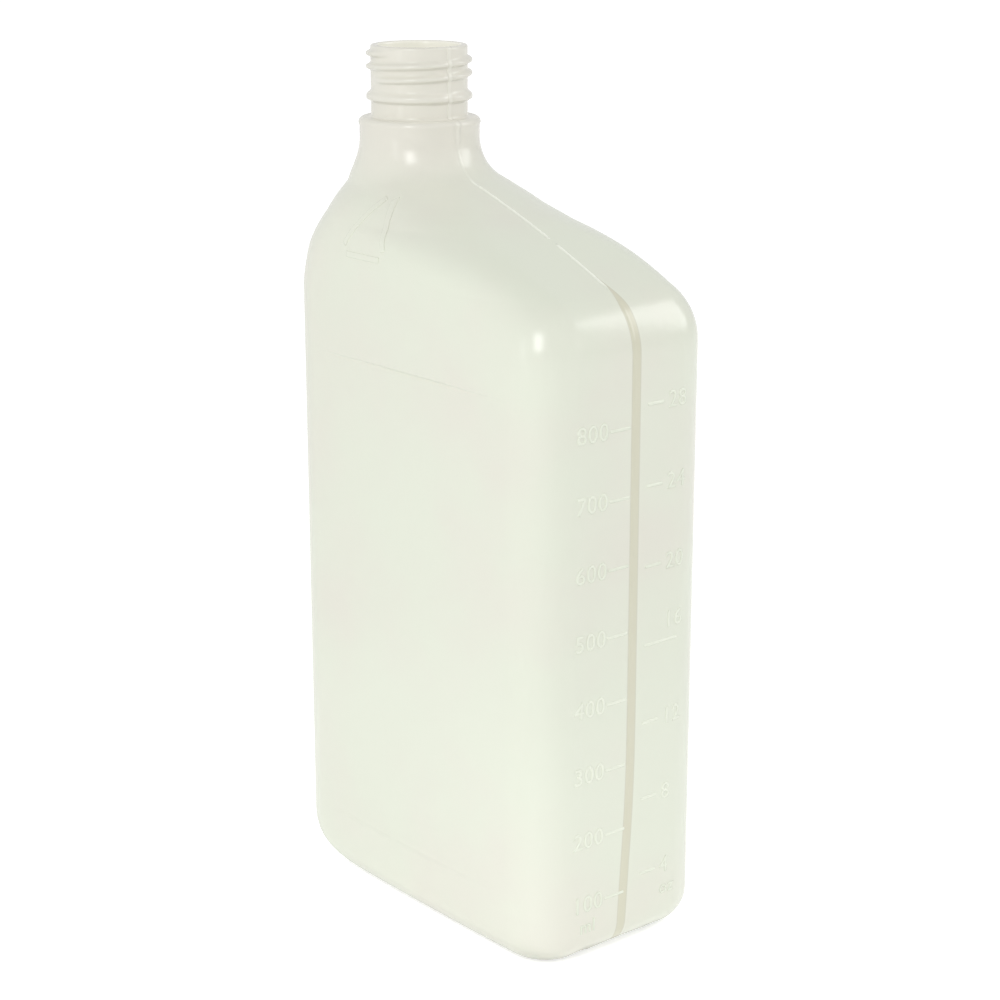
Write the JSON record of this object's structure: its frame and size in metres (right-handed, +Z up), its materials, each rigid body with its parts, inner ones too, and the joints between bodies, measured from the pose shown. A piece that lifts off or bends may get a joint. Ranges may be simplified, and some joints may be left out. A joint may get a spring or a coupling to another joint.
{
  "type": "oil bottle",
  "caption": "Flat upright oil bottle, blown in one piece, with rounded corners, a long sloping shoulder and an open neck set to one side.",
  "frame": {"origin": "middle of the foot, on the surface that the bottle stands on", "axes": "+Z up, +X towards the narrow side below the slope, -Y towards the front"},
  "size_m": [0.1057, 0.0596, 0.225],
  "materials": {
    "bottle_plastic": "satin creamy-white polyethylene, with a narrow clearer stripe down one narrow side"
  },
  "bodies": {
    "root": {"bottle": "bottle_plastic"}
  },
  "joints": []
}
